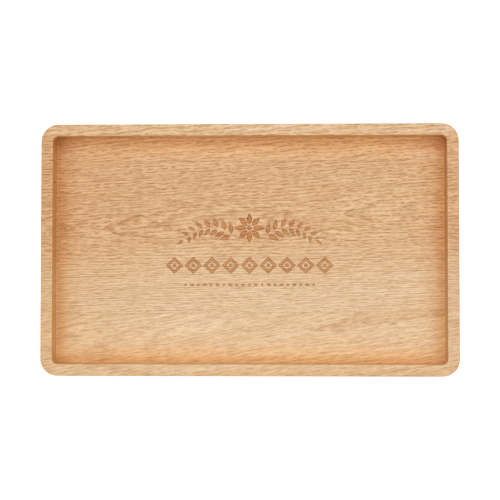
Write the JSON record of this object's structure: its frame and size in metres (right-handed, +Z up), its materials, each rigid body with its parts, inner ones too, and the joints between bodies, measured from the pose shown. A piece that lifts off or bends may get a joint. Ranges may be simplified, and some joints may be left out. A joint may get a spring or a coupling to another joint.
{
  "type": "wooden serving tray",
  "caption": "Shallow rectangular beech tray: a flat recess routed into an edge-glued panel, with a narrow flat rim, rounded corners and eased edges.",
  "frame": {"origin": "centre of the flat underside", "axes": "+X along the tray and the grain, +Y across it towards the rear stave, +Z up out of the recess"},
  "size_m": [0.29, 0.175, 0.02],
  "materials": {
    "beech": "fine sanded, thin matt oil",
    "wood_glue": "cured joint line, sanded flush"
  },
  "bodies": {
    "root": {"rear_stave": "beech", "rear_glue_line": "wood_glue", "centre_stave": "beech", "front_glue_line": "wood_glue", "front_stave": "beech"}
  },
  "joints": []
}
